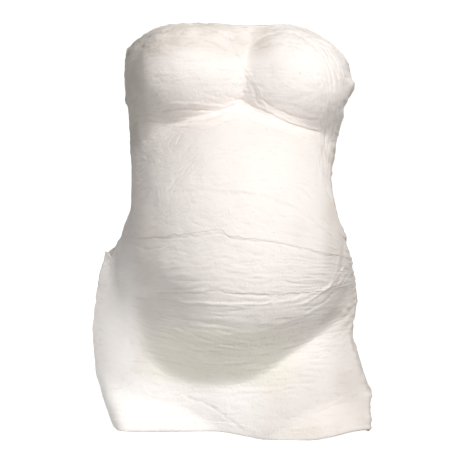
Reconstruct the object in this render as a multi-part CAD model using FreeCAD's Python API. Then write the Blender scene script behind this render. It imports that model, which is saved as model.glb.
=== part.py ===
# Plaster body mold: a thin, open-backed shell of hardened plaster-gauze strips
# that keeps the front of a pregnant trunk, from above the bust to the upper thighs.
# It stands on its lower rim. Seen from the front, X runs to the right and Z up; the
# belly faces -Y and the open back lies in one upright plane. All sizes are in mm.
import math
import os

import FreeCAD
import Part

# ---------------------------------------------------------------- driving sizes
shell_height = 569.0      # ground to the highest point of the upper rim
hip_breadth = 378.0       # skin side, where the hips are widest
belly_depth = 231.0       # skin side, rear plane to the front of the belly
lining_thickness = 2.0    # skin-side strips, two plies of plaster gauze
strip_thickness = 1.6     # face strips
bond_gap = 0.06           # plaster film between one layer and the next
butt_gap = 0.5            # open seam between strips laid edge to edge
edge_width = 30.0         # side edge strips, measured round the rim
lap_share = 0.30          # part of a face strip that lies on the strip below it
joggle_share = 0.12       # part of a face strip that steps down off that lap
top_band_share = 0.24     # part of the uppermost row taken by the top edge strips
foot_band_share = 0.30    # part of the lowest row taken by the foot edge strips

# Girth table of the bare trunk: height, reach to the left, reach to the right,
# and depth from the rear plane to the middle of the trunk without its mounds.
girths = [
    (-20, 160, 191, 108), (0, 166, 193, 112), (50, 183, 195, 122),
    (95, 175, 181, 122), (140, 168, 170, 118), (185, 166, 177, 116),
    (225, 166, 171, 118), (262, 161, 160, 120), (290, 152, 150, 124),
    (316, 142, 140, 126), (345, 141, 135, 126), (400, 144, 144, 122),
    (445, 147, 154, 118), (490, 152, 165, 116), (530, 152, 158, 112),
    (570, 142, 142, 102), (590, 137, 136, 96),
]

# Rounded mounds on the trunk: centre across and up, half width, rise above and
# drop below the centre, rear level, height of the dome over it, roundness of the
# upper outline, and the reach of the fillet that blends it in.
mounds = [
    ("mons", 34, 84, 70, 46, 84, 106, 17, 2.0, 50),
    ("left_thigh", -104, -60, 140, 116, 120, 76, 66, 2.0, 22),
    ("right_thigh", 122, -60, 104, 110, 120, 76, 64, 2.0, 28),
    ("belly", 10, 252, 162, 204, 180, 26, 205, 2.7, 70),
    ("left_breast", -53, 501, 77, 84, 61, 80, 76, 2.0, 56),
    ("right_breast", 86, 490, 74, 72, 62, 84, 75, 2.0, 56),
]

belly_draw_left = 0.15        # how much narrower the belly is at its lower left
belly_draw_right = 0.08       # and at its lower right
belly_lean = 32.0             # how far the underside of the belly hangs to the left

# Flared left hip edge: height, and how far it stands out from the trunk there.
flares = [(30, 0), (54, 5), (78, 18), (110, 28), (140, 35), (185, 33), (210, 30),
          (240, 24), (254, 19), (266, 5), (280, 0)]

# Lower edge line of every face strip, at five places round the wrap from the
# left rim over the middle to the right rim.
strip_lines = [
    (58, 62, 64, 60, 52), (122, 110, 100, 108, 104), (170, 148, 132, 142, 150),
    (196, 178, 165, 172, 180), (220, 208, 205, 207, 214), (254, 240, 241, 232, 226),
    (282, 277, 279, 256, 240), (330, 340, 335, 303, 262), (386, 392, 394, 384, 366),
    (444, 444, 452, 441, 438), (498, 497, 500, 494, 490),
]
table_height, table_breadth, table_depth = 569.0, 378.0, 231.0
rise = shell_height / table_height
widen = hip_breadth / table_breadth
deepen = belly_depth / table_depth

# ------------------------------------------------------------ curves and blends


def blend(t):
    """Smooth step from 0 to 1."""
    t = min(max(t, 0.0), 1.0)
    return t * t * (3.0 - 2.0 * t)


def through(places, values, x):
    """Smooth curve through a few stations, a cubic between neighbours."""
    last = len(places) - 2
    k = 0
    while k < last and x > places[k + 1]:
        k += 1
    step = places[k + 1] - places[k]
    t = (x - places[k]) / step
    a = slope_at(places, values, k)
    b = slope_at(places, values, k + 1)
    start = (2 * t**3 - 3 * t**2 + 1) * values[k] + (t**3 - 2 * t**2 + t) * step * a
    end = (3 * t**2 - 2 * t**3) * values[k + 1] + (t**3 - t**2) * step * b
    return start + end


def slope_at(places, values, k):
    """Slope at a station from the two chords beside it."""
    if k == 0:
        return (values[1] - values[0]) / (places[1] - places[0])
    if k == len(places) - 1:
        return (values[k] - values[k - 1]) / (places[k] - places[k - 1])
    before = places[k] - places[k - 1]
    after = places[k + 1] - places[k]
    low = (values[k] - values[k - 1]) / before
    high = (values[k + 1] - values[k]) / after
    return (low * after + high * before) / (before + after)


def soft_max(a, b, reach):
    """The larger of two depths, filleted where they are nearly equal."""
    h = max(reach - abs(a - b), 0.0) / reach
    return max(a, b) + h * h * reach / 4.0


def dome(s):
    """Round cap of unit height that runs on as a straight slope past its rim."""
    turn = 0.93
    slope = -turn / math.sqrt(1.0 - turn * turn)
    inside = min(s, turn)
    return math.sqrt(1.0 - inside * inside) + max(s - turn, 0.0) * slope


# ------------------------------------------------------------------- body form
girth_heights = [row[0] for row in girths]
girth_left = [row[1] for row in girths]
girth_right = [row[2] for row in girths]
girth_depth = [row[3] for row in girths]


def mound_depth(mound, x, z):
    """Depth reached by one mound at a place on the trunk."""
    name, cx, cz, half, up, down, level, height, round_up, reach = mound
    if name == "belly":
        half *= 1.0 - belly_draw_left * blend((cx - x) / 80.0) * blend((cz - z) / 70.0)
        half *= 1.0 - belly_draw_right * blend((x - cx) / 80.0) * blend((cz - z) / 110.0)
        cx -= belly_lean * blend((190.0 - z) / 90.0)
    if z > cz:
        part = abs((z - cz) / up) ** round_up
    else:
        part = ((z - cz) / down) ** 2
    return level + height * dome(math.sqrt(((x - cx) / half) ** 2 + part))


def flare_reach(z):
    """How far the left hip edge stands out at a height."""
    if z <= flares[0][0] or z >= flares[-1][0]:
        return 0.0
    return through([f[0] for f in flares], [f[1] for f in flares], z)


def skin_point(u, z):
    """Point of the skin side at wrap place u (-1 left rim, 1 right rim), height z."""
    angle = u * math.pi / 2.0
    left = through(girth_heights, girth_left, z)
    right = through(girth_heights, girth_right, z)
    depth = through(girth_heights, girth_depth, z)
    x = (right - left) / 2.0 + (right + left) / 2.0 * math.sin(angle)
    start = 0.86 - 0.30 * blend((230.0 - z) / 80.0)
    x -= flare_reach(z) * min(max((-u - start) / (1.0 - start), 0.0), 1.1) ** 2
    trunk = depth * math.cos(angle) * (1.0 + 0.28 * math.sin(angle) ** 2)
    y = trunk
    for mound in mounds:
        reach = mound[9]
        if mound[0] == "belly":
            reach = 70.0 + 20.0 * blend((z - 210.0) / 150.0)
        y = soft_max(y, mound_depth(mound, x, z), reach)
    wall = 0.20
    if u < 0.0:
        wall += 0.16 * blend((150.0 - z) / 80.0)
    y = trunk + (y - trunk) * blend((1.0 - abs(u)) / wall)
    return FreeCAD.Vector(x * widen, -y * deepen, z * rise)


def foot_line(u):
    """Height of the lower rim: two lobes rest on the ground, the left one is lifted."""
    lobe = 12.0 * blend((-u + 0.08) / 0.16) * blend((u + 0.82) / 0.18)
    corner = min(max((-u - 0.86) / 0.14, 0.0), 1.0)
    return -2.0 + lobe + 16.0 * corner**1.5


def crown_line(u):
    """Height of the upper rim, falling towards both shoulders."""
    return 569.0 - 26.0 * blend((-u - 0.45) / 0.5) - 46.0 * blend((u - 0.34) / 0.58)


def row_line(k, u):
    """Height of the lower edge of strip row k at wrap place u."""
    if k == 0:
        return foot_line(u)
    if k > len(strip_lines):
        return crown_line(u)
    return through([-1.0, -0.5, 0.0, 0.5, 1.0], strip_lines[k - 1], u)


row_count = len(strip_lines) + 1


def wrap_height(u, v):
    """Height at wrap place u of row coordinate v (whole numbers are strip edges)."""
    k = min(int(v), row_count - 1)
    low = row_line(k, u)
    high = row_line(k + 1, u)
    return low + (high - low) * (v - k)


# ------------------------------------------------------------------ control net
rim = 1.012               # the wrap runs this far, a little behind the rear plane
rim_turn = 400.0          # length round the rim for one unit of wrap near the rims
side = 1.0 - edge_width / (rim_turn * deepen)
lining_seams = [-rim, -0.78, -0.52, -0.28, 0.0, 0.26, 0.50, 0.78, rim]
thigh_seams = (-0.06, 0.38)
bust_seam = 0.10
chest_seams = (-0.11, 0.32)
top_seams = (-0.28, 0.32)
foot_seams = (-0.22, 0.38)


def build_columns():
    """Wrap places of the net: every seam, and even lines between the seams."""
    seams = lining_seams + [-side, side, bust_seam] + list(thigh_seams)
    seams = sorted(set(seams + list(chest_seams) + list(top_seams) + list(foot_seams)))
    found = [seams[0]]
    for low, high in zip(seams, seams[1:]):
        pitch = 0.034 if abs(low + high) > 1.4 else 0.058
        count = max(int(math.ceil((high - low) / pitch)), 1)
        found += [low + (high - low) * (k + 1) / count for k in range(count)]
    return found


def build_rows():
    """Row coordinates of the net: strip edges, laps, joggles and lines between."""
    found = [0, foot_band_share, (foot_band_share + 1) / 2]
    for k in range(1, row_count):
        step = k + lap_share + joggle_share
        found += [k, k + lap_share, step, (step + k + 1) / 2]
    return sorted(set(found + [row_count - top_band_share, row_count]))


columns = build_columns()
rows = build_rows()


def difference(items, places, k):
    """Rate of change of a list of vectors at item k."""
    if k == 0:
        return (items[1] - items[0]) * (1.0 / (places[1] - places[0]))
    if k == len(items) - 1:
        return (items[k] - items[k - 1]) * (1.0 / (places[k] - places[k - 1]))
    before = places[k] - places[k - 1]
    after = places[k + 1] - places[k]
    low = (items[k] - items[k - 1]) * (1.0 / before)
    high = (items[k + 1] - items[k]) * (1.0 / after)
    return (low * after + high * before) * (1.0 / (before + after))


def along_columns(net):
    """Rate of change of a net of vectors round the wrap."""
    count = len(columns)
    lines = [[net[i][j] for i in range(count)] for j in range(len(rows))]
    return [[difference(lines[j], columns, i) for j in range(len(rows))] for i in range(count)]


def along_rows(net):
    """Rate of change of a net of vectors up the trunk."""
    return [[difference(line, rows, j) for j in range(len(rows))] for line in net]


points = [[skin_point(u, wrap_height(u, v)) for v in rows] for u in columns]
point_u = along_columns(points)
point_v = along_rows(points)
point_uv = along_rows(point_u)
normals = [[point_u[i][j].cross(point_v[i][j]).normalize() for j in range(len(rows))]
           for i in range(len(columns))]
normal_u = along_columns(normals)
normal_v = along_rows(normals)
normal_uv = along_rows(normal_u)


def column(u):
    """Number of the net column at wrap place u."""
    return min(range(len(columns)), key=lambda i: abs(columns[i] - u))


def row(v):
    """Number of the net row at row coordinate v."""
    return min(range(len(rows)), key=lambda j: abs(rows[j] - v))


# --------------------------------------------------------------- strip surfaces


def handles(places, first, last, trim_low, trim_high):
    """Pole offsets from each net line: a third of the way to its neighbours."""
    found = []
    for k in range(first, last + 1):
        before = -(places[k] - places[k - 1]) / 3.0 if k > first else trim_low
        after = (places[k + 1] - places[k]) / 3.0 if k < last else -trim_high
        found += [(k, before), (k, after)]
    return found


def pole(i, a, j, b, lift):
    """One pole: net point plus its slopes, raised off the skin side by lift."""
    spot = points[i][j] + point_u[i][j] * a + point_v[i][j] * b + point_uv[i][j] * (a * b)
    up = normals[i][j] + normal_u[i][j] * a + normal_v[i][j] * b + normal_uv[i][j] * (a * b)
    return spot + up * lift


def knots(places, first, last):
    """Knot places and their counts for a surface that is smooth across net lines."""
    inner = last - first - 1
    return list(places[first:last + 1]), [4] + [2] * inner + [4]


def sheet(across, up, lift):
    """Net of poles of one face of a strip; lift gives its height at a net line."""
    return [[pole(i, a, j, b, lift(i, j)) for j, b in up] for i, a in across]


def free_face(poles, u_knots, v_knots):
    """Free-form face over a net of poles."""
    surface = Part.BSplineSurface()
    surface.buildFromPolesMultsKnots(poles, u_knots[1], v_knots[1], u_knots[0], v_knots[0],
                                     False, False, 3, 3)
    return surface.toShape()


def edge_face(inner, outer, along):
    """Ruled face that closes the edge between the two faces of a strip."""
    surface = Part.BSplineSurface()
    surface.buildFromPolesMultsKnots([inner, outer], [2, 2], along[1], [0.0, 1.0], along[0],
                                     False, False, 1, 3)
    return surface.toShape()


def strip(left, right, low, high, inner_lift, outer_lift, gaps=(0, 0, 0, 0)):
    """Solid strip between two columns and two rows, with its two face heights.

    gaps are the open seams kept at its left, right, lower and upper edges.
    """
    i0, i1, j0, j1 = column(left), column(right), row(low), row(high)
    im, jm = (i0 + i1) // 2, (j0 + j1) // 2
    trims = [gaps[0] / point_u[i0][jm].Length, gaps[1] / point_u[i1][jm].Length,
             gaps[2] / point_v[im][j0].Length, gaps[3] / point_v[im][j1].Length]
    across = handles(columns, i0, i1, trims[0], trims[1])
    up = handles(rows, j0, j1, trims[2], trims[3])
    u_knots = knots(columns, i0, i1)
    v_knots = knots(rows, j0, j1)
    inner = sheet(across, up, inner_lift)
    outer = sheet(across, up, outer_lift)
    faces = [free_face(inner, u_knots, v_knots), free_face(outer, u_knots, v_knots),
             edge_face(inner[0], outer[0], v_knots), edge_face(inner[-1], outer[-1], v_knots),
             edge_face([line[0] for line in inner], [line[0] for line in outer], u_knots),
             edge_face([line[-1] for line in inner], [line[-1] for line in outer], u_knots)]
    shell = Part.Compound(faces)
    shell.sewShape()
    solid = Part.makeSolid(shell.Shells[0])
    if solid.Volume < 0:
        solid.reverse()
    return solid


def level(height):
    """Face of a strip that keeps one height over the skin side."""
    return lambda i, j: height


def lapped(k, height, lifted):
    """Face of strip row k: lifted over the strip below it, then stepped down."""
    end = row(k + lap_share)
    return lambda i, j: height + lifted if j <= end else height


# ---------------------------------------------------------------------- pieces
bed = lining_thickness + bond_gap
lift = strip_thickness + bond_gap
band_top = bed + strip_thickness + lift
top_row = row_count - top_band_share
half = butt_gap / 2.0


def lining_pieces():
    """Upright skin-side strips, laid edge to edge round the wrap."""
    pieces = {}
    for k in range(8):
        gaps = (half if k else 0, half if k < 7 else 0, 0, 0)
        pieces["lining_%d" % (k + 1)] = strip(lining_seams[k], lining_seams[k + 1], 0, row_count,
                                              level(0), level(lining_thickness), gaps)
    return pieces


def face_strip(left, right, k, gaps):
    """Face strip of row k; its upper margin runs on under the next row's lap."""
    high = min(k + 1 + lap_share, top_row)
    if k == 0:
        low = foot_band_share
        return strip(left, right, low, high, level(bed), level(bed + strip_thickness), gaps)
    return strip(left, right, k, high, lapped(k, bed, lift),
                 lapped(k, bed + strip_thickness, lift), gaps)


def spread(names, seams):
    """Pieces of one row with their left and right ends, between the side edges."""
    ends = [-side] + list(seams) + [side]
    return [(name, ends[k], ends[k + 1]) for k, name in enumerate(names)]


def face_pieces():
    """Face strips from the thighs up to the bust, each lapped over the one below."""
    names = ["", "groin", "hip", "under_belly", "lower_belly", "belly_low", "belly_mid",
             "belly_high", "waist", "midriff"]
    pieces = {}
    parts = {0: spread(["thigh_left", "mons", "thigh_right"], thigh_seams),
             10: spread(["bust_left", "bust_right"], [bust_seam]),
             11: spread(["chest_left", "chest_mid", "chest_right"], chest_seams)}
    for k in range(row_count):
        for name, left, right in parts.get(k, [(names[k] if k < 10 else "", -side, side)]):
            gaps = (half, half, half if k == 0 else 0, half)
            pieces["face_" + name] = face_strip(left, right, k, gaps)
    return pieces


def edge_pieces():
    """Thicker strips that bind the rims, laid on the lining beside the face strips."""
    pieces = {}
    spans = [("low", 0, 2), ("mid", 2, 6), ("high", 6, row_count)]
    for name, low, high in spans:
        for tag, left, right in [("left", -rim, -side), ("right", side, rim)]:
            seams = [0 if tag == "left" else half, half if tag == "left" else 0,
                     half if low else 0, half if high < row_count else 0]
            pieces["edge_%s_%s" % (tag, name)] = strip(left, right, low, high, level(bed),
                                                       level(band_top), seams)
    for name, left, right in spread(["left", "mid", "right"], top_seams):
        pieces["edge_top_" + name] = strip(left, right, top_row, row_count, level(bed),
                                           level(band_top), (half, half, half, 0))
    for name, left, right in spread(["left", "mid", "right"], foot_seams):
        pieces["edge_foot_" + name] = strip(left, right, 0, foot_band_share, level(bed),
                                            level(band_top), (half, half, 0, half))
    return pieces


def trimmed(solid):
    """Cut a piece flat on the ground plane and on the open rear plane."""
    box = solid.BoundBox
    if box.ZMin < 0.0:
        ground = Part.makeBox(900, 600, 100, FreeCAD.Vector(-450, -400, -100))
        solid = solid.cut(ground)
    if box.YMax > 0.0:
        rear = Part.makeBox(900, 100, 900, FreeCAD.Vector(-450, 0, -100))
        solid = solid.cut(rear)
    return solid.Solids[0]


def main():
    """Build every piece, centre the whole on the origin and write the files."""
    pieces = {}
    pieces.update(lining_pieces())
    pieces.update(face_pieces())
    pieces.update(edge_pieces())
    pieces = {name: trimmed(solid) for name, solid in pieces.items()}
    boxes = [solid.BoundBox for solid in pieces.values()]
    middle_x = (min(b.XMin for b in boxes) + max(b.XMax for b in boxes)) / 2.0
    middle_y = (min(b.YMin for b in boxes) + max(b.YMax for b in boxes)) / 2.0
    os.makedirs("parts", exist_ok=True)
    for name, solid in pieces.items():
        solid.translate(FreeCAD.Vector(-middle_x, -middle_y, 0))
        solid.exportStep("parts/%s.step" % name)
        print(name, solid.isValid(), round(solid.Volume), len(solid.Faces))
    print("moved by", round(-middle_x, 3), round(-middle_y, 3))


main()
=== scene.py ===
import bpy
import numpy as np
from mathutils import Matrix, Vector


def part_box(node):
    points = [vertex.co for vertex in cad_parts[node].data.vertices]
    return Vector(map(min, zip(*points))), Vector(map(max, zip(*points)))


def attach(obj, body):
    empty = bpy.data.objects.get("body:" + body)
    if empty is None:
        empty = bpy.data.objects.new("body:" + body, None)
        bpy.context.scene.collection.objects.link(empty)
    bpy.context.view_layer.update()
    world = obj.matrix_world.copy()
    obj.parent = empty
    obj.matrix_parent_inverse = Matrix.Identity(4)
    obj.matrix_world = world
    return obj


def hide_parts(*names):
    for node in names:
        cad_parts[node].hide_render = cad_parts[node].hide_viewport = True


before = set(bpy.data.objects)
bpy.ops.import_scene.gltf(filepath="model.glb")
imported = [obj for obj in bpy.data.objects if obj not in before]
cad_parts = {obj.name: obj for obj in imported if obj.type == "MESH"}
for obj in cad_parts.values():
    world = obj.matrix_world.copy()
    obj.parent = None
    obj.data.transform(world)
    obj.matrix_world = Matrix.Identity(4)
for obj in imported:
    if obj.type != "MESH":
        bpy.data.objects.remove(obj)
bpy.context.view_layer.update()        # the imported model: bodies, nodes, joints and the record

# The bare trunk that the strips were laid on, in millimetres.
bodyForm = {
    # height, reach to the left, reach to the right, depth
    "girths": [(-20, 160, 191, 108), (0, 166, 193, 112), (50, 183, 195, 122), (95, 175, 181, 122),
               (140, 168, 170, 118), (185, 166, 177, 116), (225, 166, 171, 118), (262, 161, 160, 120),
               (290, 152, 150, 124), (316, 142, 140, 126), (345, 141, 135, 126), (400, 144, 144, 122),
               (445, 147, 154, 118), (490, 152, 165, 116), (530, 152, 158, 112), (570, 142, 142, 102),
               (590, 137, 136, 96)],
    # height, how far the left hip edge flares out
    "flares": [(20, 0), (30, 0), (54, 5), (78, 18), (110, 28), (140, 35), (185, 33), (210, 30),
               (240, 24), (254, 19), (266, 5), (280, 0), (290, 0)],
    # shares of the half wrap where the flare starts, how far it spreads lower down, and how wide
    # the bare wall stays behind the mounds, with what is added to it low on the left
    "flareStart": 0.86, "flareSpread": 0.30, "wall": 0.20, "lowWall": 0.16,
    "sideFullness": 0.28,
    # the lower belly is drawn in by these shares and leans to the left by this much
    "bellyDrawLeft": 0.15, "bellyDrawRight": 0.08, "bellyLean": 32,
    # lower rim, what is worn off its left side and right corner; upper rim and its two falls
    "foot": -2.0, "footLeft": 13.0, "footRight": 12.0,
    "crown": 569.0, "crownLeft": 26.0, "crownRight": 46.0,
}
# centre across, centre up, half width, rise, drop, rear level, height, roundness, fillet
mounds = {
    "mons": (34, 84, 70, 46, 84, 106, 17, 2.0, 50),
    "leftThigh": (-104, -60, 140, 116, 120, 76, 66, 2.0, 22),
    "rightThigh": (122, -60, 104, 110, 120, 76, 64, 2.0, 28),
    "belly": (10, 252, 162, 204, 180, 26, 205, 2.7, 70),
    "leftBreast": (-53, 501, 77, 84, 61, 80, 76, 2.0, 56),
    "rightBreast": (86, 490, 74, 72, 62, 84, 75, 2.0, 56),
}
# Lower edge line of each row of strips, at five places round the wrap from left to right.
stripLines = [(58, 62, 64, 60, 52), (122, 110, 100, 108, 104), (170, 148, 132, 142, 150),
              (196, 178, 165, 172, 180), (220, 208, 205, 207, 214), (254, 240, 241, 232, 226),
              (282, 277, 279, 256, 240), (330, 340, 335, 303, 262), (386, 392, 394, 384, 366),
              (444, 444, 452, 441, 438), (498, 497, 500, 494, 490)]
rowCount = len(stripLines) + 1


def smoothStep(t):
    # 3 t^2 - 2 t^3, held at 0 and 1 outside
    t = np.clip(t, 0.0, 1.0)
    return t * t * (3.0 - 2.0 * t)


def through(places, values, x):
    # cubic from station to station, its slope at each the mean of the two chords there
    places, values = np.asarray(places, float), np.asarray(values, float)
    step = np.diff(places)
    chord = np.diff(values) / step
    slope = np.empty(len(places))
    slope[0], slope[-1] = chord[0], chord[-1]
    slope[1:-1] = (chord[:-1] * step[1:] + chord[1:] * step[:-1]) / (step[1:] + step[:-1])
    k = np.clip(np.searchsorted(places, x) - 1, 0, len(places) - 2)
    h = step[k]
    t = (x - places[k]) / h
    return ((2 * t**3 - 3 * t**2 + 1) * values[k] + (t**3 - 2 * t**2 + t) * h * slope[k]
            + (3 * t**2 - 2 * t**3) * values[k + 1] + (t**3 - t**2) * h * slope[k + 1])


def softMax(a, b, reach):
    # the larger depth plus (reach - |a - b|)^2 / (4 reach) where the two are close
    near = np.maximum(reach - np.abs(a - b), 0.0) / reach
    return np.maximum(a, b) + near * near * reach / 4.0


def dome(s):
    # sqrt(1 - s^2), running on as a straight slope past s = 0.93
    turn = 0.93
    slope = -turn / np.sqrt(1.0 - turn * turn)
    inside = np.minimum(s, turn)
    return np.sqrt(1.0 - inside * inside) + np.maximum(s - turn, 0.0) * slope


def moundDepth(name, x, z):
    # rear level + height * dome(distance from the centre in half widths)
    cx, cz, half, up, down, level, height, roundness, _ = mounds[name]
    if name == "belly":
        drawLeft = bodyForm["bellyDrawLeft"] * smoothStep((cx - x) / 80) * smoothStep((cz - z) / 70)
        drawRight = bodyForm["bellyDrawRight"] * smoothStep((x - cx) / 80) * smoothStep((cz - z) / 110)
        half = half * (1 - drawLeft) * (1 - drawRight)
        cx = cx - bodyForm["bellyLean"] * smoothStep((190 - z) / 90)
    above = np.abs((z - cz) / up) ** roundness
    below = ((z - cz) / down) ** 2
    return level + height * dome(np.sqrt(((x - cx) / half) ** 2 + np.where(z > cz, above, below)))


def footLine(u):
    # height of the lower rim: it stands on the right lobe and on both rear ends, and the
    # left side and the right corner are worn a little shorter
    left = bodyForm["footLeft"] * smoothStep((-u + 0.2) / 0.32) * smoothStep((u + 0.99) / 0.20)
    right = bodyForm["footRight"] * smoothStep((u - 0.26) / 0.44) * (1 - smoothStep((u - 0.82) / 0.13))
    return bodyForm["foot"] + left + right


def crownLine(u):
    # height of the upper rim, falling to both shoulders
    left = bodyForm["crownLeft"] * smoothStep((-u - 0.45) / 0.5)
    return bodyForm["crown"] - left - bodyForm["crownRight"] * smoothStep((u - 0.34) / 0.58)


def wrapHeight(u, v):
    # straight between the two strip lines beside row coordinate v
    lines = [footLine(u)] + [through([-1, -0.5, 0, 0.5, 1], s, u) for s in stripLines] + [crownLine(u)]
    lines = np.array(lines)
    k = np.clip(np.floor(v).astype(int), 0, rowCount - 1)
    low = np.take_along_axis(lines, k[None], 0)[0]
    high = np.take_along_axis(lines, k[None] + 1, 0)[0]
    return low + (high - low) * (v - k)


def skinPoint(u, v, flareCut=None):
    # x = half ellipse reach * sin(90 u), y = the soft maximum of trunk and mounds, z = wrapHeight
    z = wrapHeight(u, v)
    angle = u * np.pi / 2
    table = np.array(bodyForm["girths"], float)
    left, right, depth = (through(table[:, 0], table[:, c], z) for c in (1, 2, 3))
    x = (right - left) / 2 + (right + left) / 2 * np.sin(angle)
    flares = np.array(bodyForm["flares"], float)
    flare = np.clip(through(flares[:, 0], flares[:, 1], np.clip(z, 20, 290)), 0, None)
    if flareCut:
        flare = flareCut(flare, z)
    start = bodyForm["flareStart"] - bodyForm["flareSpread"] * smoothStep((230 - z) / 80)
    x = x - flare * np.clip((-u - start) / (1 - start), 0, 1.1) ** 2
    trunk = depth * np.cos(angle) * (1 + bodyForm["sideFullness"] * np.sin(angle) ** 2)
    y = trunk
    for name, mound in mounds.items():
        reach = mound[-1] + (20 * smoothStep((z - 210) / 150) if name == "belly" else 0)
        y = softMax(y, moundDepth(name, x, z), reach)
    wall = bodyForm["wall"] + np.where(u < 0, bodyForm["lowWall"], 0.0) * smoothStep((150 - z) / 80)
    y = trunk + (y - trunk) * smoothStep((1 - np.abs(u)) / wall)
    return np.stack([x, -y, z], -1)


def skinNormal(u, v, flareCut=None):
    # cross product of the two slopes, over a step wide enough to keep offsets smooth
    du, dv = 0.008, 0.06
    vLow, vHigh = np.clip(v - dv, 0, rowCount), np.clip(v + dv, 0, rowCount)
    across = skinPoint(u + du, v, flareCut) - skinPoint(u - du, v, flareCut)
    up = skinPoint(u, vHigh, flareCut) - skinPoint(u, vLow, flareCut)
    normal = np.cross(across, up)
    return normal / np.linalg.norm(normal, axis=-1, keepdims=True)


# Where the formula's trunk lies in the frame: the lining strips give both sides and the rear.
probeU, probeV = np.meshgrid(np.linspace(-1, 1, 81), np.linspace(0, rowCount, 121), indexing="ij")
probe = skinPoint(probeU, probeV) + 2.0 * skinNormal(probeU, probeV)
liningLow = np.min([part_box("lining_%d" % k)[0] for k in range(1, 9)], axis=0)
liningHigh = np.max([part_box("lining_%d" % k)[1] for k in range(1, 9)], axis=0)
rearPlane = float(liningHigh[1])
middle = (probe[..., 0].min() + probe[..., 0].max()) / 2000
shift = np.array([(liningLow[0] + liningHigh[0]) / 2 - middle, rearPlane, 0.0])
print("trunk placed by", np.round(shift, 4), "front", probe[..., 1].min() / 1000 + shift[1], liningLow[1])

# Lengths round the wrap and up the trunk, to space the grids and to carry the weave.
arcU = np.linspace(-1, 1, 401)
ring = np.mean([np.linalg.norm(np.diff(skinPoint(arcU, np.full(401, v)), axis=0), axis=1)
                for v in (1.0, 3.0, 5.0, 7.0, 9.0, 11.0)], axis=0)
arcAlong = np.r_[0, np.cumsum(ring)]
arcAlong = arcAlong - np.interp(0, arcU, arcAlong)
arcV = np.linspace(0, rowCount, 481)
rise = np.mean([np.linalg.norm(np.diff(skinPoint(np.full(481, u), arcV), axis=0), axis=1)
                for u in (-0.5, 0.0, 0.1, 0.5)], axis=0)
arcUp = np.r_[0, np.cumsum(rise)]


def lengths(u, v):
    # millimetres round the wrap at u and up the trunk at v
    return np.interp(u, arcU, arcAlong), np.interp(v, arcV, arcUp)


def coordinates(along, up):
    # the way back, from millimetres to u and v
    return np.interp(along, arcAlong, arcU), np.interp(up, arcUp, arcV)


def noise(x, y, seed):
    # gradient noise: slopes at whole-number corners, blended by a quintic, about -1 to 1
    rng = np.random.RandomState(seed)
    order = rng.permutation(1024)
    turn = rng.uniform(0, 2 * np.pi, 1024)
    xi, yi = np.floor(x).astype(int), np.floor(y).astype(int)
    xf, yf = x - xi, y - yi

    def corner(i, j):
        a = turn[order[(order[(xi + i) % 1024] + yi + j) % 1024]]
        return np.cos(a) * (xf - i) + np.sin(a) * (yf - j)

    fx, fy = (f**3 * (f * (f * 6 - 15) + 10) for f in (xf, yf))
    low = corner(0, 0) * (1 - fx) + corner(1, 0) * fx
    high = corner(0, 1) * (1 - fx) + corner(1, 1) * fx
    return (low * (1 - fy) + high * fy) * 1.5


def fractal(x, y, seed, octaves=3, gain=0.5):
    # noise summed at doubling scales, each gain times the last
    total, size = 0, 1.0
    for k in range(octaves):
        total = total + size * noise(x * 2**k, y * 2**k, seed + k)
        size *= gain
    return total


def window(x, low, high, soft):
    # 1 between low and high, easing to 0 over soft outside them
    return smoothStep((x - low + soft) / soft) * smoothStep((high + soft - x) / soft)


def patch(x, z, across, up):
    # a window across times a window up, each given as low, high, soft
    return window(x, *across) * window(z, *up)


def bell(t):
    # e to the power -t^2
    return np.exp(-(t ** 2))


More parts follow.
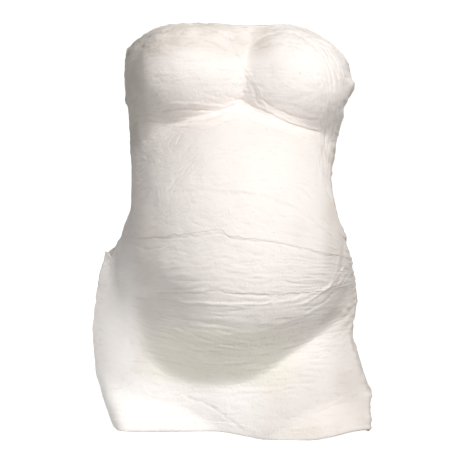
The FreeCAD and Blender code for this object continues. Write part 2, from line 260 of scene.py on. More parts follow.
# Single folds and strip edges in the plaster: kind, way it runs, size, width, and a line of
# (across, height) in mm, or (height, across) where it runs up. An edge drops below its line, a
# shelf drops above it, and a ridge or a groove has two sides.
folds = [
    ("groove", "across", 1.1, 1.5, [(-66, 206), (-34, 207), (-16, 211), (-7, 207), (18, 205), (52, 202)]),
    ("groove", "across", 0.8, 1.3, [(-108, 275), (-48, 278), (-23, 281), (-11, 281), (-4, 277), (21, 273),
                                    (62, 268), (88, 261), (124, 250)]),
    ("edge", "across", 0.55, 16, [(-110, 340), (-68, 338), (-3, 335), (48, 328), (88, 310), (116, 288),
                                  (137, 273)]),
    ("ridge", "across", 0.5, 1.8, [(-20, 337), (48, 329), (88, 311), (116, 289), (140, 270)]),
    ("shelf", "across", 1.3, 14, [(-92, 203), (-69, 197), (-30, 194), (8, 194), (49, 195), (81, 200),
                                  (115, 210), (145, 218)]),
    ("ridge", "across", 0.8, 2.2, [(-72, 198), (-30, 193), (8, 193), (49, 195), (81, 200), (115, 210),
                                   (145, 219)]),
    ("edge", "across", 0.7, 10, [(-80, 186), (-69, 179), (-16, 170), (36, 166), (89, 174), (132, 193)]),
    ("groove", "across", 0.7, 2.0, [(-70, 158), (-44, 148), (11, 136), (62, 139), (105, 155)]),
    ("groove", "across", 0.5, 2.0, [(-60, 140), (-20, 126), (30, 120), (80, 128)]),
    ("ridge", "across", 0.9, 2.4, [(-129, 446), (-86, 441), (-36, 438), (3, 452), (44, 446), (78, 434),
                                   (121, 430)]),
    ("groove", "across", 1.0, 2.4, [(-129, 440), (-86, 434), (-36, 431), (3, 446), (44, 438), (78, 425),
                                    (121, 423)]),
    ("ridge", "across", 0.9, 2.2, [(-90, 428), (-36, 425), (3, 439), (44, 431), (78, 418), (121, 416)]),
    ("groove", "across", 0.7, 2.0, [(-80, 418), (-36, 417), (3, 431), (44, 423), (78, 410), (110, 408)]),
    ("groove", "across", 1.5, 2.0, [(34, 542), (48, 549), (63, 552), (76, 552), (88, 548), (98, 541),
                                    (114, 528)]),
    ("groove", "across", 1.0, 1.8, [(44, 556), (58, 559), (72, 558), (92, 554)]),
    ("ridge", "across", 1.4, 2.6, [(40, 536), (56, 541), (76, 543), (92, 537), (106, 527), (126, 510)]),
    ("groove", "across", 1.0, 2.0, [(30, 528), (50, 533), (75, 533), (100, 522)]),
    ("groove", "across", 1.3, 2.0, [(-74, 561), (-60, 561), (-38, 558), (-21, 551), (2, 541)]),
    ("ridge", "across", 1.0, 2.4, [(-84, 553), (-50, 552), (-28, 546), (0, 534)]),
    ("groove", "across", 0.9, 2.0, [(-70, 545), (-40, 541), (-14, 530), (8, 520)]),
    ("groove", "across", 1.3, 1.7, [(-98, 452), (-60, 453), (-12, 450), (10, 456), (28, 463)]),
    ("ridge", "across", 1.1, 2.2, [(-104, 459), (-60, 460), (-14, 457), (6, 463)]),
    ("groove", "across", 1.1, 2.0, [(-12, 470), (16, 464), (34, 452), (56, 441), (71, 431), (92, 426),
                                    (112, 424)]),
    ("ridge", "across", 0.8, 2.0, [(6, 474), (24, 466), (42, 453), (64, 442), (80, 434), (104, 429),
                                   (124, 427)]),
    ("groove", "across", 1.2, 1.8, [(36, 468), (52, 456), (72, 446), (96, 440), (118, 440)]),
    ("groove", "up", 0.8, 1.8, [(448, 44), (460, 36), (477, 31), (492, 21), (498, 11)]),
    ("ridge", "up", 0.7, 2.0, [(446, 50), (462, 42), (478, 37), (494, 27), (506, 18)]),
    ("groove", "up", 0.9, 2.2, [(470, 25), (495, 18), (514, 10), (536, -2), (552, -8)]),
    ("groove", "up", 0.9, 2.0, [(378, 118), (395, 122), (410, 127), (425, 124)]),
    ("ridge", "up", 1.0, 2.2, [(372, 126), (392, 130), (410, 134), (430, 130)]),
    ("groove", "across", 0.9, 2.6, [(-64, 60), (-24, 45), (0, 27), (17, 13)]),
    ("groove", "across", 0.7, 2.0, [(107, 34), (130, 41), (158, 47)]),
    ("ridge", "up", 1.2, 2.0, [(202, 116), (222, 130), (240, 137), (266, 139)]),
    ("groove", "up", 1.2, 2.0, [(198, 126), (220, 139), (245, 145), (272, 146)]),
    ("ridge", "across", 1.3, 2.0, [(84, 190), (104, 199), (126, 214), (150, 238)]),
    ("groove", "across", 1.2, 1.8, [(90, 180), (114, 190), (136, 205), (156, 226)]),
    ("edge", "across", 0.8, 9, [(48, 160), (84, 172), (116, 190), (150, 214)]),
    ("edge", "across", 0.5, 12, [(-160, 92), (-100, 88), (-50, 70)]),
    ("edge", "across", 0.5, 12, [(70, 96), (120, 84), (170, 90)]),
]


def foldField(x, z):
    # each fold is a bell or a one-sided fall across its line, fading out at its two ends
    total = np.zeros_like(x)
    for k, (kind, way, size, width, line) in enumerate(folds):
        line = np.array(line, float)
        run, level = (z, x) if way == "up" else (x, z)
        path = through(line[:, 0], line[:, 1], np.clip(run, line[0, 0], line[-1, 0]))
        d = level - path - 1.6 * noise(run / 9.0, run * 0 + 3.7 * k, 40 + k)
        strength = window(run, line[0, 0] + 8, line[-1, 0] - 8, 14)
        strength = strength * (0.75 + 0.45 * noise(run / 17.0, run * 0 + k, 70 + k))
        if kind == "edge":
            shape = smoothStep((d + 1.0) / 2.0) * np.exp(-np.maximum(d, 0) / width)
        elif kind == "shelf":
            shape = smoothStep((1.0 - d) / 2.0) * np.exp(np.minimum(d, 0) / width)
        else:
            shape = bell(d / width) * (1 if kind == "ridge" else -1)
        total = total + size * strength * shape
    return total


# How high each kind of wrinkle stands, in mm.
wrinkles = {"lump": 0.9, "dimple": 0.28, "streak": 0.22, "crease": 0.30, "belly": 0.50, "leftSide": 0.45,
            "rightSide": 1.0, "crown": 0.9, "bust": 0.30, "rings": 0.18, "rim": 1.2, "rimCrease": 0.6}
# Where some of them show: low, high, soft across, then up.
regions = {"belly": ((-128, 150, 30), (108, 236, 34)), "leftSide": ((-140, -48, 22), (325, 445, 36)),
           "rightSide": ((126, 260, 22), (365, 560, 40))}
# Soft swells of noise: wrinkle, region, share, length, height, sway, seed, octaves, gain.
swells = [("lump", "all", 1.0, 75, 60, 0, 1, 2, 0.5), ("dimple", "all", 1.0, 19, 13, 0, 5, 3, 0.5),
          ("streak", "all", 1.0, 60, 7.0, 1, 11, 3, 0.6), ("belly", "belly", 0.5, 45, 4.5, 1, 13, 2, 0.5),
          ("rightSide", "rightSide", 0.5, 22, 34, 0, 18, 3, 0.5),
          ("crown", "crown", 1.0, 30, 11, 0, 21, 3, 0.5), ("rim", "ragged", 1.0, 40, 13, 0, 25, 3, 0.5)]
# Thin creases: wrinkle, region, share (below 0 cuts in), way, length, spacing, sway, seed, thinness.
creases = [("crease", "all", -1.0, "round", 60, 16, 1.0, 30, 0.11),
           ("belly", "belly", -1.0, "round", 120, 9.0, 0.6, 34, 0.14),
           ("belly", "belly", 0.8, "round", 110, 10.0, 0.6, 37, 0.13),
           ("leftSide", "leftSide", -1.0, "slant", 55, 10.0, 1.0, 15, 0.14),
           ("leftSide", "leftSide", 0.5, "counter", 45, 13.0, 0.0, 19, 0.14),
           ("crown", "crown", -0.8, "round", 60, 9.0, 1.0, 27, 0.14),
           ("bust", "bust", -1.0, "round", 70, 11, 1.3, 23, 0.11),
           ("bust", "bust", 0.6, "round", 60, 12, 1.3, 43, 0.11),
           ("rimCrease", "sides", -1.0, "round", 50, 10.0, 1.0, 28, 0.14)]
bustRings = [(89, 485, 46), (-49, 499, 48)]        # centre across, centre up, seed
# Steps in the side rims: side, size, height, width.
rimSteps = [(-1, 2.6, 476, 5), (-1, -2.6, 463, 6), (1, 6.0, 490, 8), (1, 3.5, 52, 6), (1, -3.5, 463, 7)]
# Pits and dabs: across, height, radius, depth (below 0 stands out).
spots = [(44, 418, 1.9, 1.0), (89, 494, 1.8, 0.9), (82, 424, 1.6, 0.9), (-70, 262, 1.6, -0.9),
         (153, 172, 4.5, -2.2), (161, 180, 3.5, -1.8), (158, 160, 4.0, -2.0), (165, 150, 3.0, -1.5)]


def creaseLines(a, b, seed, thin=0.11):
    # thin lines where stretched noise crosses zero, showing only in patches
    lines = bell(noise(a, b, seed) / thin)
    return lines * smoothStep((noise(a * 1.7 + 5, b * 0.4, seed + 1) + 0.25) / 0.5)


def relief(u, v, place):
    # swells + creases of each region + ropes and rings + steps in the rims + folds - spots
    x, z = place[..., 0], place[..., 2]
    along, up = lengths(u, v)
    bend = 6 * noise(along / 55, up / 40, 9) + 2 * noise(along / 18, up / 16, 10)
    turned, across = 0.77 * along + 0.64 * up, -0.64 * along + 0.77 * up
    ways = {"round": (along, up), "slant": (turned, across), "counter": (across, turned)}
    sides = smoothStep((np.abs(u) - np.where(u > 0, 0.72, 0.86)) / 0.14)
    area = {name: patch(x, z, *spans) for name, spans in regions.items()}
    area["rightSide"] = area["rightSide"] * (1 - 0.6 * smoothStep((u - 0.72) / 0.1))
    area.update(all=1.0, crown=smoothStep((v - 11.2) / 0.5), bust=window(v, 9.4, 11.5, 0.3),
                sides=sides, ragged=sides * np.where(u > 0, 1.3, 0.8))
    height = 0.2 * (wrinkles["crown"] * area["crown"] + sides)
    for name, region, share, length, tall, sway, seed, octaves, gain in swells:
        swell = fractal(along / length, (up + sway * bend) / tall, seed, octaves, gain)
        height = height + wrinkles[name] * share * area[region] * swell
    for name, region, share, way, length, spacing, sway, seed, thin in creases:
        run, level = ways[way]
        lines = creaseLines(run / length, (level + sway * bend) / spacing, seed, thin)
        height = height + wrinkles[name] * share * area[region] * lines
    ropes = 1 - 2 * np.abs(noise((along + 0.35 * up) / 7.5, up / 42, 17))
    height = height + 0.8 * wrinkles["rightSide"] * area["rightSide"] * ropes
    for cx, cz, seed in bustRings:
        r, turn = np.hypot(x - cx, z - cz), np.arctan2(z - cz, x - cx)
        ringLines = creaseLines(turn * 0.7 + 9, (r + 0.5 * bend) / 9.0, seed, 0.13)
        height = height - wrinkles["rings"] * window(r, 12, 52, 10) * ringLines
    for way, size, level, width in rimSteps:
        height = height + np.where(u * way > 0, size, 0.0) * sides * bell((z - level) / width)
    height = height + foldField(x, z) * (1 - sides)
    for cx, cz, r, deep in spots:
        height = height - deep * bell(np.hypot(x - cx, z - cz) / r)
    return height


print("trunk form and plaster relief defined")


def addNode(tree, kind, **settings):
    node = tree.nodes.new(kind)
    for name, value in settings.items():
        setattr(node, name, value)
    return node


def noiseNode(tree, scale, detail, roughness=0.5):
    # cloudy noise on the piece's own object coordinates
    node = addNode(tree, "ShaderNodeTexNoise")
    for name, value in (("Scale", scale), ("Detail", detail), ("Roughness", roughness)):
        node.inputs[name].default_value = value
    tree.links.new(addNode(tree, "ShaderNodeTexCoord").outputs["Object"], node.inputs["Vector"])
    return node


def mapRange(tree, source, fromSpan=(0, 1), toSpan=(0, 1)):
    # stretches a value from one span to another, held at both ends
    node = addNode(tree, "ShaderNodeMapRange")
    for name, value in zip(("From Min", "From Max", "To Min", "To Max"), (*fromSpan, *toSpan)):
        node.inputs[name].default_value = value
    tree.links.new(source, node.inputs["Value"])
    return node


def mathNode(tree, operation, *sources):
    # each source is a socket or a plain number
    node = addNode(tree, "ShaderNodeMath", operation=operation)
    for k, source in enumerate(sources):
        if isinstance(source, (int, float)):
            node.inputs[k].default_value = source
        else:
            tree.links.new(source, node.inputs[k])
    return node.outputs[0]


def bumpNode(tree, height, distance, below=None):
    # one more layer of bump on the normal below it
    node = addNode(tree, "ShaderNodeBump")
    node.inputs["Strength"].default_value = 1.0
    node.inputs["Distance"].default_value = distance
    tree.links.new(height, node.inputs["Height"])
    if below:
        tree.links.new(below, node.inputs["Normal"])
    return node.outputs["Normal"]


def makeGauzeGroup():
    # two crossed sine bands in the piece's own map, broken up by noise: a plaster-filled weave
    group = bpy.data.node_groups.new("gauzeWeave", "ShaderNodeTree")
    for name in ("Pitch", "Fill"):
        group.interface.new_socket(name, in_out="INPUT", socket_type="NodeSocketFloat")
    group.interface.new_socket("Height", in_out="OUTPUT", socket_type="NodeSocketFloat")
    inputs, outputs = addNode(group, "NodeGroupInput"), addNode(group, "NodeGroupOutput")
    uv = addNode(group, "ShaderNodeUVMap", uv_map="wrap")
    scaled = addNode(group, "ShaderNodeVectorMath", operation="SCALE")
    group.links.new(uv.outputs["UV"], scaled.inputs[0])
    group.links.new(inputs.outputs["Pitch"], scaled.inputs["Scale"])
    split = addNode(group, "ShaderNodeSeparateXYZ")
    group.links.new(scaled.outputs["Vector"], split.inputs["Vector"])
    threads = [mathNode(group, "SINE", mathNode(group, "MULTIPLY", split.outputs[axis], 6.2832))
               for axis in ("X", "Y")]
    crossed = mathNode(group, "MAXIMUM", *threads)
    showing = mapRange(group, noiseNode(group, 28.0, 3.0).outputs["Fac"], (0, 0.72))
    group.links.new(inputs.outputs["Fill"], showing.inputs["From Min"])
    height = mathNode(group, "MULTIPLY", crossed, showing.outputs["Result"])
    group.links.new(height, outputs.inputs["Height"])
    return group


def makeTintGroup():
    # soft mottling between two plaster tints
    group = bpy.data.node_groups.new("plasterTint", "ShaderNodeTree")
    for name in ("Clean", "Warm"):
        group.interface.new_socket(name, in_out="INPUT", socket_type="NodeSocketColor")
    group.interface.new_socket("Color", in_out="OUTPUT", socket_type="NodeSocketColor")
    inputs, outputs = addNode(group, "NodeGroupInput"), addNode(group, "NodeGroupOutput")
    cloud = noiseNode(group, 14.0, 5.0)
    ramp = mapRange(group, cloud.outputs["Fac"], (0.42, 0.72), (0, 0.75))
    mix = addNode(group, "ShaderNodeMix", data_type="RGBA")
    group.links.new(ramp.outputs["Result"], mix.inputs["Factor"])
    group.links.new(inputs.outputs["Clean"], mix.inputs[6])
    group.links.new(inputs.outputs["Warm"], mix.inputs[7])
    group.links.new(mix.outputs[2], outputs.inputs["Color"])
    return group


gauzeGroup, tintGroup = makeGauzeGroup(), makeTintGroup()

# Tints of clean and warm plaster, of painted shade in the creases and under the belly, and of painted light;
# then the weave's height and threads to the metre, how much of it is filled, the height of the grain and the
# roughness span.
plasterLooks = {
    "plasterFace": {"clean": (0.90, 0.858, 0.835), "warm": (0.88, 0.825, 0.785),
                    "paintedShade": (0.68, 0.625, 0.57), "shade": (0.83, 0.82, 0.71), "paintedLight": (0.96, 0.935, 0.915),
                    "weave": 0.00008, "pitch": 640.0, "fill": 0.50, "grain": 0.00066, "rough": (0.62, 0.86)},
    "plasterLining": {"clean": (0.87, 0.825, 0.785), "warm": (0.82, 0.765, 0.70),
                      "paintedShade": (0.66, 0.58, 0.50), "shade": (0.84, 0.80, 0.71), "paintedLight": (0.88, 0.84, 0.80),
                      "weave": 0.00045, "pitch": 460.0, "fill": 0.34, "grain": 0.00054, "rough": (0.66, 0.9)},
    "plasterEdge": {"clean": (0.90, 0.862, 0.838), "warm": (0.86, 0.80, 0.745),
                    "paintedShade": (0.66, 0.605, 0.55), "shade": (0.85, 0.83, 0.73), "paintedLight": (0.96, 0.935, 0.915),
                    "weave": 0.00020, "pitch": 560.0, "fill": 0.42, "grain": 0.00090, "rough": (0.66, 0.92)},
}


def makePlaster(name, look):
    # tint, then the three areas of painted shade and painted light; weave, grain and pits as bump; roughness
    # from the grain
    material = bpy.data.materials.new(name)
    material.use_nodes = True
    tree = material.node_tree
    tree.nodes.clear()
    shader = addNode(tree, "ShaderNodeBsdfPrincipled")
    out = addNode(tree, "ShaderNodeOutputMaterial")
    tree.links.new(shader.outputs["BSDF"], out.inputs["Surface"])
    shader.inputs["Specular IOR Level"].default_value = 0.35
    shader.inputs["Sheen Weight"].default_value = 0.05
    tint = addNode(tree, "ShaderNodeGroup", node_tree=tintGroup)
    tint.inputs["Clean"].default_value = (*look["clean"], 1)
    tint.inputs["Warm"].default_value = (*look["warm"], 1)
    colour = tint.outputs["Color"]
    for mask in ("shade", "paintedLight", "paintedShade"):
        area = addNode(tree, "ShaderNodeAttribute", attribute_name=mask)
        mix = addNode(tree, "ShaderNodeMix", data_type="RGBA")
        tree.links.new(area.outputs["Fac"], mix.inputs["Factor"])
        tree.links.new(colour, mix.inputs[6])
        mix.inputs[7].default_value = (*look[mask], 1)
        colour = mix.outputs[2]
    tree.links.new(colour, shader.inputs["Base Color"])
    weave = addNode(tree, "ShaderNodeGroup", node_tree=gauzeGroup)
    weave.inputs["Pitch"].default_value = look["pitch"]
    weave.inputs["Fill"].default_value = look["fill"]
    normal = bumpNode(tree, weave.outputs["Height"], look["weave"])
    grain = noiseNode(tree, 260.0, 6.0, 0.6)
    normal = bumpNode(tree, grain.outputs["Fac"], look["grain"], normal)
    pits = addNode(tree, "ShaderNodeTexVoronoi")
    pits.inputs["Scale"].default_value = 95.0
    tree.links.new(addNode(tree, "ShaderNodeTexCoord").outputs["Object"], pits.inputs["Vector"])
    pitMask = mapRange(tree, pits.outputs["Distance"], (0.06, 0.13))
    normal = bumpNode(tree, pitMask.outputs["Result"], 0.0004, normal)
    tree.links.new(normal, shader.inputs["Normal"])
    rough = mapRange(tree, grain.outputs["Fac"], toSpan=look["rough"])
    tree.links.new(rough.outputs["Result"], shader.inputs["Roughness"])
    return material


plasters = {name: makePlaster(name, look) for name, look in plasterLooks.items()}
print("plaster materials made")

# Levels above the skin and lengths in mm: the lining's back, the face, the grid's pitch, how deep a
# strip sinks under its neighbour, the torn edge, the margin tucked under, and how far each fades.
layers = {"lining": 2.0, "face": 4.4, "pitch": 1.3, "sink": 1.5, "tear": 2.2, "tuck": 11.0,
          "tearFade": 14.0, "edgeFade": 16.0, "lapFade": 11.0, "rowHeight": 38.0}
side = 0.925        # share of the half wrap where the side edge strips begin


def stripGrid(left, right, low, high, pitch):
    # even steps of length round the wrap, even steps of row coordinate up the trunk
    a, b = lengths([left, right], [low, high])
    countU, countV = (max(int(round((ends[1] - ends[0]) / pitch)), 4) + 1 for ends in (a, b))
    us, vs = coordinates(np.linspace(a[0], a[1], countU), np.linspace(b[0], b[1], countV))
    us[0], us[-1] = left, right
    return us, vs


def closedSheet(name, outer, inner, wrap, masks, material, nodes):
    # two grids of the same shape, joined round their border into one closed wall
    nu, nv = outer.shape[:2]
    verts = np.concatenate([outer.reshape(-1, 3), inner.reshape(-1, 3)])
    grid = np.arange(nu * nv).reshape(nu, nv)
    a, b, c, d = grid[:-1, :-1], grid[1:, :-1], grid[1:, 1:], grid[:-1, 1:]
    front = np.stack([a, b, c, d], -1).reshape(-1, 4)
    back = front[:, ::-1] + nu * nv
    loop = np.concatenate([grid[:, 0], grid[-1, 1:], grid[-2::-1, -1], grid[0, -2:0:-1]])
    after = np.roll(loop, -1)
    rim = np.stack([after, loop, loop + nu * nv, after + nu * nv], -1)
    faces = np.concatenate([front, back, rim])
    mesh = bpy.data.meshes.new(name)
    mesh.vertices.add(len(verts))
    mesh.vertices.foreach_set("co", verts.astype(np.float32).ravel())
    mesh.loops.add(faces.size)
    mesh.loops.foreach_set("vertex_index", faces.astype(np.int32).ravel())
    mesh.polygons.add(len(faces))
    mesh.polygons.foreach_set("loop_start", np.arange(0, faces.size, 4, dtype=np.int32))
    mesh.update(calc_edges=True)
    uv = mesh.uv_layers.new(name="wrap")
    both = np.concatenate([wrap.reshape(-1, 2)] * 2)
    uv.data.foreach_set("uv", both[faces.ravel()].astype(np.float32).ravel())
    for mask, values in masks.items():
        data = mesh.attributes.new(mask, "FLOAT", "POINT").data
        data.foreach_set("value", np.concatenate([values.ravel()] * 2).astype(np.float32))
    mesh.polygons.foreach_set("use_smooth", np.ones(len(faces), bool))
    mesh.materials.append(plasters[material])
    mesh.validate()
    piece = bpy.data.objects.new(name, mesh)
    bpy.context.scene.collection.objects.link(piece)
    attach(piece, "root")
    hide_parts(*nodes)
    return piece


def toFrame(points):
    # millimetres of the trunk formula to metres of the frame, kept off the floor and the rear plane
    placed = points / 1000 + shift
    placed[..., 1] = np.minimum(placed[..., 1], rearPlane)
    placed[..., 2] = np.maximum(placed[..., 2], 0.0)
    return placed


def hollowMask(height, reach=3):
    # how far a point lies below the mean of its neighbours, as 0 to 1: painted shade in the creases and
    # hollows
    padded = np.pad(height, reach, mode="edge")
    mean = np.zeros_like(height)
    size = 2 * reach + 1
    for i in range(size):
        for j in range(size):
            mean += padded[i:i + height.shape[0], j:j + height.shape[1]]
    return np.clip((mean / size**2 - height) * 0.9 - 0.06, 0, 0.45)


# Areas of tint: strength, then low, high, soft across and up. Greenish painted shade lies under the
# belly, painted light on the lower left and the left hip, painted shade along the sides and the bust top.
tintAreas = {
    # painted shade under the belly and in the groin, with a greenish tint
    "shade": [(0.68, (-70, 40, 80), (95, 140, 48)), (0.42, (-78, 20, 26), (20, 120, 34))],
    # painted light on the lower left and on the flap of the left hip
    "paintedLight": [(1.0, (-260, 10, 60), (-60, 62, 34)), (0.8, (-260, -146, 24), (-60, 255, 30))],
    # painted shade on the right side, the right hip and the upper left side
    "thin": [(0.55, (130, 260, 22), (165, 415, 40)), (0.35, (150, 260, 30), (-20, 180, 40)),
             (0.6, (-260, -122, 18), (425, 600, 40))],
    # painted shade on the top of the bust, where it tilts away from the light
    "crestShade": [(0.56, (-150, 36, 36), (534, 640, 26))],
}


def areaMasks(place, bumps, reach=3):
    # the strongest patch of each tint; the painted shade on the sides and on the top of the bust, broken by
    # noise, joins the painted shade in the creases
    x, y, z = place[..., 0], place[..., 1], place[..., 2]
    area = {name: np.max([strength * patch(x, z, across, up) for strength, across, up in rows], axis=0)
            for name, rows in tintAreas.items()}
    # painted shade on the sides, broken by noise
    thin = area["thin"] * (0.75 + 0.5 * noise(y / 26, z / 30, 300))
    thin = np.maximum(thin, area["crestShade"] * (0.7 + 0.6 * noise(x / 30, z / 17, 310)))
    # painted shade in the creases, along the sides and on the top of the bust
    return {"paintedShade": np.clip(hollowMask(bumps, reach) + thin, 0, 0.9),
            "shade": area["shade"], "paintedLight": area["paintedLight"]}


def gaps(us, vs, u0, u1, v0, v1):
    # lengths in mm from every grid point to the strip's four nominal borders
    along, up = lengths(us, vs)
    (left, right), (low, high) = lengths([u0, u1], [v0, v1])
    one = np.ones((len(us), len(vs)))
    return {"left": (along - left)[:, None] * one, "right": (right - along)[:, None] * one,
            "low": (up - low)[None] * one, "high": (high - up)[None] * one}


def tornEdge(us, vs, borders, seed, tear):
    # moves the borders that show in and out by noise, fading within a few millimetres
    along, up = lengths(*np.meshgrid(us, vs, indexing="ij"))
    d = gaps(us, vs, us[0], us[-1], vs[0], vs[-1])
    for border, kind in borders.items():
        if kind == "under":
            continue
        level = border in ("low", "high")
        run = along if level else up
        share = 1.0 if kind == "over" else (0.8 if border == "high" else 0.35)
        ragged = fractal(run / 13.0, run * 0 + seed, 90 + seed, 4, 0.62) + 0.1
        pull = share * tear * ragged * (1 - smoothStep(d[border] / layers["tearFade"]))
        pull = pull * (1 if border in ("low", "left") else -1)
        along, up = (along, up + pull) if level else (along + pull, up)
    return coordinates(along, up)


def makeStrip(kind, label, left, right, low, high, borders, step, seed, tear=layers["tear"], lift=0.0,
              feather=1.6, jag=None, flareCut=None, crown=None):
    # outer = face level + relief + rise at its own edges - sink under its neighbours
    tuck = {border: layers["tuck"] if how == "under" else 0.0 for border, how in borders.items()}
    (a0, a1), (b0, b1) = lengths([left, right], [low, high])
    (u0, u1), (v0, v1) = coordinates([a0 - tuck["left"], a1 + tuck["right"]],
                                     [b0 - tuck["low"], b1 + tuck["high"]])
    us, vs = stripGrid(u0, u1, v0, v1, layers["pitch"])
    u, v = tornEdge(us, vs, borders, seed, tear)
    whole = gaps(us, vs, us[0], us[-1], vs[0], vs[-1])
    if jag:
        # moves the lower edge up or down, given as mm at places across
        base = skinPoint(u[:, :1], v[:, :1])[..., 0]
        drop = np.interp(base, [q[0] for q in jag], [q[1] for q in jag]) / layers["rowHeight"]
        v = v + drop * (1 - smoothStep(whole["low"] / layers["edgeFade"]))
    place, normal = skinPoint(u, v, flareCut), skinNormal(u, v, flareCut)
    if crown:
        # raises or lowers the upper rim, given as mm at places round the wrap
        climb = np.interp(u, [q[0] for q in crown], [q[1] for q in crown])
        place[..., 2] += climb * (1 - smoothStep(whole["high"] / layers["edgeFade"]))
    bumps = relief(u, v, place)
    along, up = lengths(u, v)
    d = gaps(us, vs, left, right, low, high)
    top = layers["face"] + lift + bumps
    under = np.full_like(top, layers["lining"] + 0.05)
    for border, how in borders.items():
        if how == "over":
            # stands proud of its neighbour and feathers into it over a width that comes and goes
            change = 1.5 if feather > 1 else 0.4
            swell = np.clip(0.8 + change * noise(along / 37, up / 37, 130 + seed), 0.12, 2)
            width = np.clip(feather * (1.4 + 2.2 * noise(along / 29 + 7, up / 29, 150 + seed)), 0.7, 6)
            top = top + step * swell * np.exp(-np.maximum(d[border], 0) / layers["lapFade"])
            top = top - (step * swell + 0.3) * (1 - smoothStep(d[border] / width))
            under = np.maximum(under, (top - layers["sink"]) * (d[border] < 12))
        elif how == "under":
            top = top - (layers["sink"] + lift) * smoothStep((-d[border] - 7.0) / 3.0)
        elif how == "rim":
            top = top - 1.6 * (1 - smoothStep(d[border] / 3.5)) ** 2
            under = under - (layers["lining"] + 0.25) * (1 - smoothStep(d[border] / 2.6))
    under = np.minimum(under, top - 0.12)
    outer, inner = toFrame(place + normal * top[..., None]), toFrame(place + normal * under[..., None])
    wrap = np.stack([along, up], -1) / 1000
    return closedSheet("plaster_%s_%s" % (kind, label), outer, inner, wrap, areaMasks(place, bumps),
                       "plaster" + kind.capitalize(), ["%s_%s" % (kind, label)])


faceStrips = {
    "groin": {"row": 1, "step": 0.12}, "hip": {"row": 2, "step": 0.2},
    "under_belly": {"row": 3, "step": 0.2}, "lower_belly": {"row": 4, "step": 0.35},
    "belly_low": {"row": 5, "step": 1.0, "feather": 0.4,
                  "jag": [(-70, 0), (-60, 1), (-34, 0), (-18, 4), (-13, 5), (-8, 0), (20, 0), (60, -2),
                          (90, 0)]},
    "belly_mid": {"row": 6, "step": 0.15},
    "belly_high": {"row": 7, "step": 0.9, "feather": 0.4,
                   "jag": [(-110, -2), (-60, 0), (-23, 3), (-11, 3), (-5, -2), (21, -2), (90, 0)]},
    "waist": {"row": 8, "step": 0.3}, "midriff": {"row": 9, "step": 0.15},
}
# Rows laid in several pieces: row, lower and upper end, then name, left and right end of each.
shortStrips = {
    0: (0.30, 1, [("thigh_left", -side, -0.06), ("mons", -0.06, 0.38), ("thigh_right", 0.38, side)]),
    10: (10, 11, [("bust_left", -side, 0.10), ("bust_right", 0.10, side)]),
    11: (11, rowCount - 0.24, [("chest_left", -side, -0.11), ("chest_mid", -0.11, 0.32),
                               ("chest_right", 0.32, side)]),
}
for seed, (name, strip) in enumerate(faceStrips.items()):
    borders = {"left": "under", "right": "under", "low": "over", "high": "under"}
    makeStrip("face", name, -side, side, strip["row"], strip["row"] + 1, borders, strip["step"], seed,
              feather=strip.get("feather", 1.8), jag=strip.get("jag"))
for row, (low, high, strips) in shortStrips.items():
    for k, (name, left, right) in enumerate(strips):
        borders = {"left": "over" if k else "under", "right": "under",
                   "low": "over" if row else "under", "high": "under"}
        makeStrip("face", name, left, right, low, high, borders, 0.18, 20 + row + k)
print("face strips made:", len(faceStrips) + sum(len(strips) for _, _, strips in shortStrips.values()))

# Side edge strips by their rows, then the strips along the upper and the lower rim by their ends.
edges = {
    "sides": {"low": (0, 2), "mid": (2, 6), "high": (6, rowCount)},
    "top": [("left", -side, -0.28), ("mid", -0.28, 0.32), ("right", 0.32, side)],
    "foot": [("left", -side, -0.22), ("mid", -0.22, 0.38), ("right", 0.38, side)],
    "sideLook": {"tear": 2.0, "lift": 0.2, "feather": 2.4}, "topLook": {"tear": 1.6, "lift": 0.2},
    "footLook": {"tear": 1.2, "lift": 0.15}, "step": 0.35, "footStep": 0.12,
    "topCrown": [(-0.93, 3), (-0.84, 1), (-0.6, -3), (-0.2, -4), (-0.12, -2), (0.1, 0), (0.6, 0)],
}


def flapCut(flare, z):
    # the flared flap keeps its reach up to its torn top corner
    return np.where(z > 236, np.maximum(flare, 24 - 0.12 * (z - 236)), flare)


def bodyCut(flare, z):
    # above the flap the rim bulges a little and runs back to the waist, whatever the flare
    return 9.0 * smoothStep((294 - z) / 46.0)


# The flap on the left hip: its strip laps over the one above and both upper ends are torn.
flap = {"mid": {"borders": {"high": "over"}, "flareCut": flapCut,
                "crown": [(-1, 2), (-0.98, 1), (-0.955, -5), (-0.925, -7)]},
        "high": {"borders": {"low": "under"}, "flareCut": bodyCut, "crown": [(-1, 8), (-0.9, 9)]}}

for k, (name, (low, high)) in enumerate(edges["sides"].items()):
    ends = {"low": "over" if low else "rim", "high": "under" if high < rowCount else "rim"}
    torn = dict(flap.get(name, {}))
    borders = {"left": "rim", "right": "over", **ends, **torn.pop("borders", {})}
    makeStrip("edge", "left_" + name, -1.0, -side, low, high, borders, edges["step"], 61 + 3 * k,
              **edges["sideLook"], **torn)
    borders = {"left": "over", "right": "rim", **ends}
    makeStrip("edge", "right_" + name, side, 1.0, low, high, borders, edges["step"], 60 + 3 * k,
              **edges["sideLook"])
for k, (name, left, right) in enumerate(edges["top"]):
    borders = {"left": "over" if k else "under", "right": "under", "low": "over", "high": "rim"}
    makeStrip("edge", "top_" + name, left, right, rowCount - 0.24, rowCount, borders, edges["step"],
              80 + k, crown=edges["topCrown"], **edges["topLook"])
for k, (name, left, right) in enumerate(edges["foot"]):
    borders = {"left": "over" if k else "under", "right": "under", "low": "rim", "high": "over"}
    makeStrip("edge", "foot_" + name, left, right, 0, 0.30, borders, edges["footStep"], 84 + k,
              **edges["footLook"])
print("edge strips made")

liningLook = {"seams": [-1.0, -0.78, -0.52, -0.28, 0.0, 0.26, 0.50, 0.78, 1.0], "pitch": 2.0, "lump": 0.55,
              "fold": 0.5, "step": 0.6, "tear": 2.4, "inset": 0.0035, "lap": 0.006}


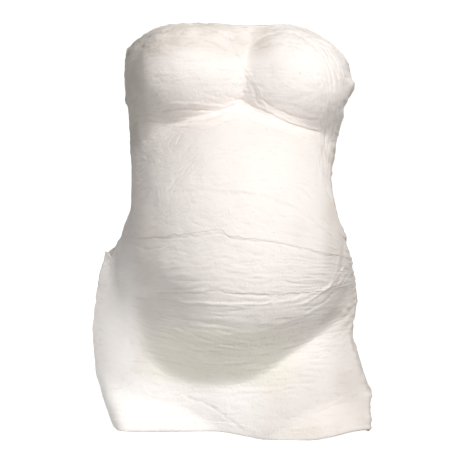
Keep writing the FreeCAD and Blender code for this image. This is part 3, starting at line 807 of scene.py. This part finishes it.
def makeLining(k):
    # inner face = skin side + gauze folds, its right edge lapping the next strip, outer face hidden
    left, right = liningLook["seams"][k - 1:k + 1]
    left += liningLook["inset"] if k == 1 else -liningLook["lap"]
    right += -liningLook["inset"] if k == 8 else liningLook["lap"]
    us, vs = stripGrid(left, right, 0.03, rowCount - 0.035, liningLook["pitch"])
    borders = {"left": "rim", "right": "rim" if k == 8 else "over", "low": "rim", "high": "rim"}
    u, v = tornEdge(us, vs, borders, 100 + k, liningLook["tear"])
    place, normal = skinPoint(u, v), skinNormal(u, v)
    along, up = lengths(u, v)
    bend = 5 * noise(along / 30, up / 60, 205 + k)
    height = liningLook["lump"] * fractal(along / 34, up / 40, 210, 3)
    height += liningLook["fold"] * creaseLines((along + bend) / 9.0, up / 75, 220 + k, 0.16)
    height -= 0.8 * liningLook["fold"] * creaseLines(up / 8.0, (along + bend) / 55, 240 + k, 0.14)
    height += 0.25 * fractal((along + bend) / 5.0, up / 30, 250 + k, 2)
    d = gaps(us, vs, left, right, 0, rowCount)
    if k < 8:
        swell = np.clip(1 + 0.8 * noise(along / 20, up / 26, 260 + k), 0.2, 2)
        height = height + liningLook["step"] * swell * np.exp(-d["right"] / 8.0)
        height = height - 0.5 * (1 - smoothStep(d["right"] / 1.2))
    if k > 1:
        height = height - 1.3 * (1 - smoothStep((d["left"] - 2.4) / 1.2))
    skin = np.minimum(-height, layers["lining"] - 0.3)
    back = np.full_like(skin, layers["lining"] + 0.02)
    outer, inner = toFrame(place + normal * back[..., None]), toFrame(place + normal * skin[..., None])
    wrap = np.stack([along, up], -1) / 1000
    closedSheet("plaster_lining_%d" % k, outer, inner, wrap, areaMasks(place, height, 2), "plasterLining",
                ["lining_%d" % k])


for k in range(1, 9):
    makeLining(k)
print("lining strips made")

# Camera distance, eye height and lens; the floor's reach, where it starts to curve up and how far
# it climbs; its tone, and its glow in light and as seen; the sky's colour in light.
studio = {"distance": 1.75, "eyeHeight": 0.283, "lens": 92.1, "floor": 6.0, "curve": 2.0, "wall": 8.0,
          "tone": (0.62, 0.62, 0.62, 1), "glow": (0.05, 0.88), "sky": (0.12, 0.114, 0.104, 1)}
areaLight = {"kind": "AREA", "shape": "DISK"}
lamps = {
    "keyLight": {**areaLight, "place": (0.81, -2.22, 2.13), "aim": (0.0, 0.0, 0.28), "energy": 82,
                 "size": 1.4, "color": (1.0, 0.985, 0.97)},
    "lowFill": {**areaLight, "place": (-0.9, -1.5, 0.15), "aim": (-0.1, 0.0, 0.08), "energy": 2,
                "size": 0.5, "color": (1.0, 0.98, 0.96)},
    "backFill": {**areaLight, "place": (-0.7, 2.6, 1.3), "aim": (0.0, 0.1, 0.28), "energy": 26,
                 "size": 1.2, "color": (1.0, 0.985, 0.97)},
    "lowReflector": {"kind": "SPOT", "place": (-0.95, -1.15, 0.06), "aim": (-0.205, 0.06, 0.055),
                     "energy": 50, "spot_size": 0.24, "spot_blend": 1.0, "shadow_soft_size": 0.15},
}


def makeStage():
    # a wide pale floor that turns up through a quarter circle far behind into a pale wall
    t = np.linspace(0, np.pi / 2, 40)
    curve = studio["curve"]
    run = np.r_[-studio["floor"], curve, curve + curve * np.sin(t), 2 * curve]
    climb = np.r_[0.0, 0.0, curve - curve * np.cos(t), studio["wall"]]
    n = len(run)
    grid = np.zeros((2, n, 3))
    grid[..., 0], grid[..., 1], grid[..., 2] = np.array([[-8.0], [8.0]]), run, climb
    mesh = bpy.data.meshes.new("paleFloor")
    mesh.from_pydata(grid.reshape(-1, 3).tolist(), [], [(i, n + i, n + i + 1, i + 1) for i in range(n - 1)])
    mesh.polygons.foreach_set("use_smooth", np.ones(n - 1, bool))
    floor = bpy.data.objects.new("paleFloor", mesh)
    bpy.context.scene.collection.objects.link(floor)
    material = bpy.data.materials.new("paleFloor")
    material.use_nodes = True
    tree = material.node_tree
    shader = tree.nodes["Principled BSDF"]
    shader.inputs["Base Color"].default_value = studio["tone"]
    shader.inputs["Roughness"].default_value = 0.9
    shader.inputs["Emission Color"].default_value = (1, 1, 1, 1)
    seen = addNode(tree, "ShaderNodeLightPath").outputs["Is Camera Ray"]
    glow = mapRange(tree, seen, toSpan=studio["glow"])
    tree.links.new(glow.outputs["Result"], shader.inputs["Emission Strength"])
    mesh.materials.append(material)


def makeLamp(name, kind, place, aim, **settings):
    # a lamp at its place, turned towards its aim
    light = bpy.data.lights.new(name, kind)
    for key, value in settings.items():
        setattr(light, key, value)
    lamp = bpy.data.objects.new(name, light)
    lamp.location = place
    lamp.rotation_euler = (Vector(aim) - Vector(place)).to_track_quat("-Z", "Y").to_euler()
    bpy.context.scene.collection.objects.link(lamp)


def makeSky():
    # white where the camera sees it, a dim warm grey where it lights the plaster
    world = bpy.data.worlds.new("world")
    world.use_nodes = True
    tree = world.node_tree
    seen = addNode(tree, "ShaderNodeLightPath").outputs["Is Camera Ray"]
    mix = addNode(tree, "ShaderNodeMix", data_type="RGBA")
    mix.inputs[6].default_value, mix.inputs[7].default_value = studio["sky"], (1, 1, 1, 1)
    tree.links.new(seen, mix.inputs["Factor"])
    tree.links.new(mix.outputs[2], tree.nodes["Background"].inputs["Color"])
    bpy.context.scene.world = world
    bpy.context.scene.view_settings.view_transform = "Standard"


def makeCamera():
    # level, on the front, at the height of the belly
    data = bpy.data.cameras.new("camera")
    data.sensor_width, data.lens = 36.0, studio["lens"]
    camera = bpy.data.objects.new("camera", data)
    camera.location = (shift[0], rearPlane - studio["distance"], studio["eyeHeight"])
    camera.rotation_euler = (np.pi / 2, 0, 0)
    bpy.context.scene.collection.objects.link(camera)
    bpy.context.scene.camera = camera


makeStage()
for name, lamp in lamps.items():
    makeLamp(name, **lamp)
makeSky()
makeCamera()
print("floor, light and camera placed")
